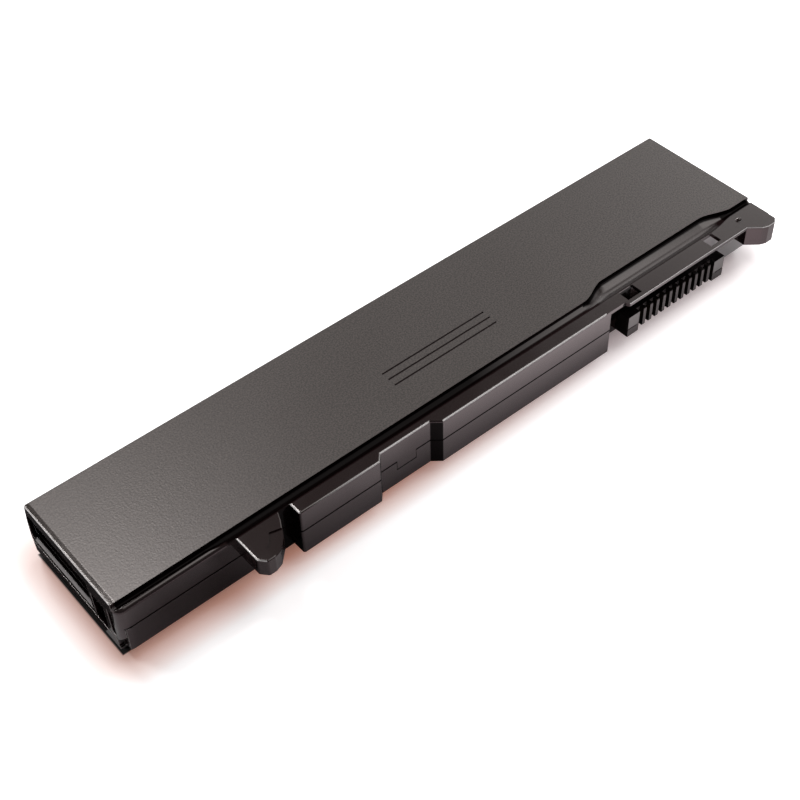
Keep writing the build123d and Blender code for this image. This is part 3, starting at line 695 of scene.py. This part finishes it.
def shade_and_seam_places(tree, place):
    masks = [in_box(tree, place, *HOLLOWS)]
    for box in (STEP_FACE, RECESS, OPENING, GUTTER, PANEL_EDGE, GUTTER_END):
        masks.append(in_box(tree, place, *box, soft=BOX_SHARP))
    for (start, end), height in SEAM_SPANS:
        low = (start, None, height - SEAM_HALF)
        high = (end, SEAM_BACK, height + SEAM_HALF)
        masks.append(in_box(tree, place, low, high, soft=SEAM_SOFT))
    fade = spread(tree, split_axes(tree, place)[0], *TROUGH_FADE)
    masks.append(product(tree, fade, in_box(tree, place, *TROUGH)))
    return largest(tree, *masks)


print("seam in", len(SEAM_SPANS), "spans,", round(SEAM_HALF * 2000, 1), "mm wide")

# %% [markdown]
# ## Painted highlights on edges
# The tops of the front walls, and the edges that face left, show as thin pale lines of highlight. A
# strong lamp in front could draw them, but it would whiten the whole panel when it is seen from
# behind. So the rounded edges are painted pale, a painted highlight. They are known by their
# normal, since only on a rounded edge are two of its parts large at once. The black step keeps its
# edge dark.

# %% Mask of the painted edge highlights
ROUNDED = (-0.25, -0.42)
WALL_TOPS = ((None, None, 0.0170), (None, -0.0160, 0.0192))
STEP_TOP = ((-0.0166, None, None), (-0.0138, None, None))
HIGHLIGHT_START = (-0.055, -0.030)
END_RIM = ((None, -0.0128, 0.0060), (-0.1000, None, None))
RIM_RISE = (0.011, 0.013, 0.35, 1.0)
BLOCK_SIDES = ((-0.0735, None, 0.0170), (-0.0560, -0.0140, None))


def painted_edge_highlights(tree, place):
    """Mask of the tops of the front walls and of the edges that face left."""
    facing = tree.nodes.new("ShaderNodeNewGeometry").outputs["Normal"]
    aside, ahead, upward = split_axes(tree, facing)
    along, _, height = split_axes(tree, place)
    # Painted highlight along the tops of the front walls, and on edges that face left.
    front = product(
        tree, spread(tree, product(tree, ahead, upward), *ROUNDED),
        in_box(tree, place, *WALL_TOPS, soft=BOX_SHARP),
        flip(tree, in_box(tree, place, *STEP_TOP)), spread(tree, along, *HIGHLIGHT_START))
    left = spread(tree, product(tree, aside, upward), *ROUNDED)
    rim = product(tree, in_box(tree, place, *END_RIM), spread(tree, height, *RIM_RISE))
    sides = largest(tree, rim, in_box(tree, place, *BLOCK_SIDES))
    return largest(tree, front, product(tree, left, sides))


print("painted_highlight grows from x", HIGHLIGHT_START[0], "to", HIGHLIGHT_START[1])

# %% [markdown]
# ## Lower half
# The lower half is the plain moulding with all of these places laid over it. Two more belong to
# the connector bay: the foot of the scoop has a painted grey sheen, and the wall beside the
# connector is painted pale, a painted light. Both halves share this finish, because the seam cuts
# through most of the places.

# %% Black of the case
CASE_TONE = (0.014, 0.0075, 0.0075)
SHADE_AND_SEAM_BLACK = (0.003, 0.0015, 0.0015)
SHADE_AND_SEAM_SHINE = 0.05
SCOOP_SHEEN = ((0.0440, -0.0156, 0.0170), (0.0900, -0.0138, 0.0191))
SCOOP_SOFT = 0.0006
SCOOP_SHEEN_GREY = (0.070, 0.062, 0.061)
HIGHLIGHT_PALE = (0.86, 0.83, 0.82)
WALL_PAINTED_LIGHT = ((0.0830, -0.0153, None), (None, -0.0146, 0.0176))
PAINTED_LIGHT_GREY = (0.56, 0.53, 0.54)


def case_black(name, roughness):
    finish, tree, shader, place = moulded_black(name, CASE_TONE, roughness)
    # Painted shade in the hollows and creases, and the dark seam, in one mask.
    matt = shade_and_seam_places(tree, place)
    scoop = in_box(tree, place, *SCOOP_SHEEN, soft=SCOOP_SOFT)
    # Painted shade: these places turn black and lose their gloss.
    colour = blend(tree, matt, source_of(shader, "Base Color"), SHADE_AND_SEAM_BLACK)
    # Painted sheen at the foot of the scoop.
    colour = blend(tree, scoop, colour, SCOOP_SHEEN_GREY)
    # Painted highlights on the rounded edges.
    colour = blend(tree, painted_edge_highlights(tree, place), colour, HIGHLIGHT_PALE)
    # Painted light on the wall beside the connector.
    colour = blend(tree, in_box(tree, place, *WALL_PAINTED_LIGHT), colour, PAINTED_LIGHT_GREY)
    feed(tree, shader.inputs["Base Color"], colour)
    shine = mix_values(tree, matt, BLACK_SHINE, SHADE_AND_SEAM_SHINE)
    feed(tree, shader.inputs["Specular IOR Level"], shine)
    return finish, tree, shader, place


lower_black = case_black("lower_black", roughness=0.15)[0]
print("nodes in", lower_black.name, len(lower_black.node_tree.nodes))

# %% [markdown]
# ## Connector
# The comb is moulded in a greyer plastic. Its front faces show that grey with painted light over
# it, the end blocks most of all, and its top and sides are painted black as shade under the bar. A
# second material per face would need the mesh split, so the painted tone follows the way a face
# points.

# %% Connector plastic
COMB_TONE = (0.006, 0.004, 0.004)
FACES_FRONT = (-0.6, -0.9)
LEFT_BLOCK = ((None, None, 0.0073), (0.0556, None, None))
RIGHT_BLOCK = ((0.0851, None, 0.0073), (None, None, None))
TOOTH_LIT_GREY = (0.085, 0.074, 0.074)
BLOCK_LIT_GREY = (0.36, 0.33, 0.33)
COMB_SHINE = (0.15, 0.6)


def connector_grey():
    finish, tree, shader, place = moulded_black("connector_grey", COMB_TONE, roughness=0.30)
    facing = tree.nodes.new("ShaderNodeNewGeometry").outputs["Normal"]
    # Painted light on the front faces, painted shade on the top and sides.
    front = spread(tree, split_axes(tree, facing)[1], *FACES_FRONT)
    blocks = [in_box(tree, place, *block) for block in (LEFT_BLOCK, RIGHT_BLOCK)]
    lit_front = blend(tree, largest(tree, *blocks), TOOTH_LIT_GREY, BLOCK_LIT_GREY)
    colour = blend(tree, front, source_of(shader, "Base Color"), lit_front)
    feed(tree, shader.inputs["Base Color"], colour)
    feed(tree, shader.inputs["Specular IOR Level"], mix_values(tree, front, *COMB_SHINE))
    return finish


connector_black = connector_grey()
print("nodes in", connector_black.name, len(connector_black.node_tree.nodes))

# %% [markdown]
# ## Upper half and its panel
# Only the panel on top has a grained texture and a warm grey tone. It is the same moulding as the
# walls, so the change is made by height: the last tenth of a millimetre is panel. The rounded rim
# at its left end is smooth, and takes the gloss of the walls.

# %% Upper half, with its panel
PANEL_START = (panel_top - 0.00012, panel_top - 0.00004)
FLECK_RANGE = (0.40, 0.60)
FLECK_DARK = (0.014, 0.011, 0.010)
FLECK_LIGHT = (0.060, 0.048, 0.043)
PANEL_SHINE = 0.8
PANEL_ROUGH = (0.32, 0.37)
PANEL_DEPTH = 0.00006
LEVEL_HEIGHT = 0.5
SMOOTH_RIM = ((None, None, 0.0190), (-0.1026, None, None))


def upper_half():
    finish, tree, shader, place = case_black("upper_black", roughness=0.14)
    panel = spread(tree, split_axes(tree, place)[2], *PANEL_START)
    rim = in_box(tree, place, *SMOOTH_RIM)
    grain = use_group(tree, tool_grain, Place=place, Grains_per_Metre=2400.0)
    marks = use_group(tree, handling_marks, Place=place, Clouds_per_Metre=18.0)
    fleck = spread(tree, grain.outputs["Fleck"], *FLECK_RANGE)
    grey = blend(tree, fleck, FLECK_DARK, FLECK_LIGHT)
    colour = blend(tree, panel, source_of(shader, "Base Color"), grey)
    feed(tree, shader.inputs["Base Color"], colour)
    shine = mix_values(tree, panel, source_of(shader, "Specular IOR Level"), PANEL_SHINE)
    feed(tree, shader.inputs["Specular IOR Level"], shine)
    wall_rough = source_of(shader, "Roughness")
    satin = spread(tree, marks.outputs["Cloud"], *NOISE_RANGE, *PANEL_ROUGH)
    satin = mix_values(tree, rim, satin, wall_rough)
    feed(tree, shader.inputs["Roughness"], mix_values(tree, panel, wall_rough, satin))
    grained = product(tree, panel, flip(tree, rim))
    height = mix_values(tree, grained, LEVEL_HEIGHT, grain.outputs["Height"])
    add_bump(tree, shader, height, PANEL_DEPTH, 0.25, source_of(shader, "Normal"))
    return finish


upper_black = upper_half()
print("nodes in", upper_black.name, len(upper_black.node_tree.nodes))

# %% [markdown]
# ## Pieces inside the case
# The case is shut, so these show only when it is opened. They still get true finishes: film over
# the cells, rolled nickel, solder resist, epoxy, plated brass and coloured wire. They differ only
# in a few numbers, so one function makes them all from a table.

# %% Plain finishes with some life in them
INNER_LOOKS = {
    "cell_film": dict(dark=(0.07, 0.17, 0.34), light=(0.12, 0.26, 0.48), roughness=0.32),
    "ring_paper": dict(
        dark=(0.66, 0.63, 0.56), light=(0.80, 0.77, 0.71), roughness=0.85, per_metre=3000.0),
    "rolled_nickel": dict(
        dark=(0.58, 0.56, 0.52), light=(0.72, 0.70, 0.66), roughness=0.34, metallic=1.0),
    "solder_resist": dict(dark=(0.03, 0.17, 0.07), light=(0.05, 0.25, 0.11), roughness=0.35),
    "chip_epoxy": dict(
        dark=(0.03, 0.03, 0.033), light=(0.05, 0.05, 0.055), roughness=0.55, per_metre=3000.0),
    "shunt_alloy": dict(
        dark=(0.46, 0.42, 0.37), light=(0.60, 0.55, 0.50), roughness=0.42, metallic=1.0),
    "fuse_ceramic": dict(
        dark=(0.72, 0.70, 0.66), light=(0.84, 0.82, 0.78), roughness=0.6, per_metre=2000.0),
    "contact_gold": dict(
        dark=(0.70, 0.50, 0.20), light=(0.86, 0.66, 0.32), roughness=0.25, metallic=1.0),
    "wire_black": dict(dark=(0.02, 0.02, 0.02), light=(0.04, 0.04, 0.04), roughness=0.45),
    "wire_red": dict(dark=(0.42, 0.03, 0.02), light=(0.56, 0.05, 0.04), roughness=0.45),
    "wire_white": dict(dark=(0.66, 0.66, 0.63), light=(0.80, 0.80, 0.77), roughness=0.45),
}
INNER_DEPTH = 0.00003


def simple_finish(name, dark, light, roughness, metallic=0.0, per_metre=400.0):
    finish, tree, shader, place = new_finish(name)
    grain = use_group(tree, tool_grain, Place=place, Grains_per_Metre=per_metre)
    marks = use_group(tree, handling_marks, Place=place, Clouds_per_Metre=90.0)
    feed(tree, shader.inputs["Base Color"], blend(tree, marks.outputs["Cloud"], dark, light))
    rough = vary(tree, grain.outputs["Fleck"], roughness, by=0.06)
    feed(tree, shader.inputs["Roughness"], rough)
    feed(tree, shader.inputs["Metallic"], metallic)
    add_bump(tree, shader, grain.outputs["Height"], INNER_DEPTH, 0.25)
    return finish


inner = {name: simple_finish(name, **look) for name, look in INNER_LOOKS.items()}

# %% [markdown]
# ## Dressing the solids
# Each solid keeps its mesh and only changes what fills its material slots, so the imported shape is
# untouched. The record says which slot each node has, so a table from slot to finish is enough.

# %% Give every node its finish
by_slot = {
    "case_top": upper_black, "case_bottom": lower_black, "connector_plastic": connector_black,
    "cell_sleeve": inner["cell_film"], "insulator_paper": inner["ring_paper"],
    "nickel_strip": inner["rolled_nickel"], "board_laminate": inner["solder_resist"],
    "chip_body": inner["chip_epoxy"], "resistor_alloy": inner["shunt_alloy"],
    "fuse_ceramic": inner["fuse_ceramic"], "contact_plating": inner["contact_gold"],
    "lead_black": inner["wire_black"], "lead_red": inner["wire_red"],
    "lead_white": inner["wire_white"],
}
for part in frame["record"]["subparts"]:
    for slot in nodes[part["node"]].material_slots:
        slot.material = by_slot[part["material_slot"]]
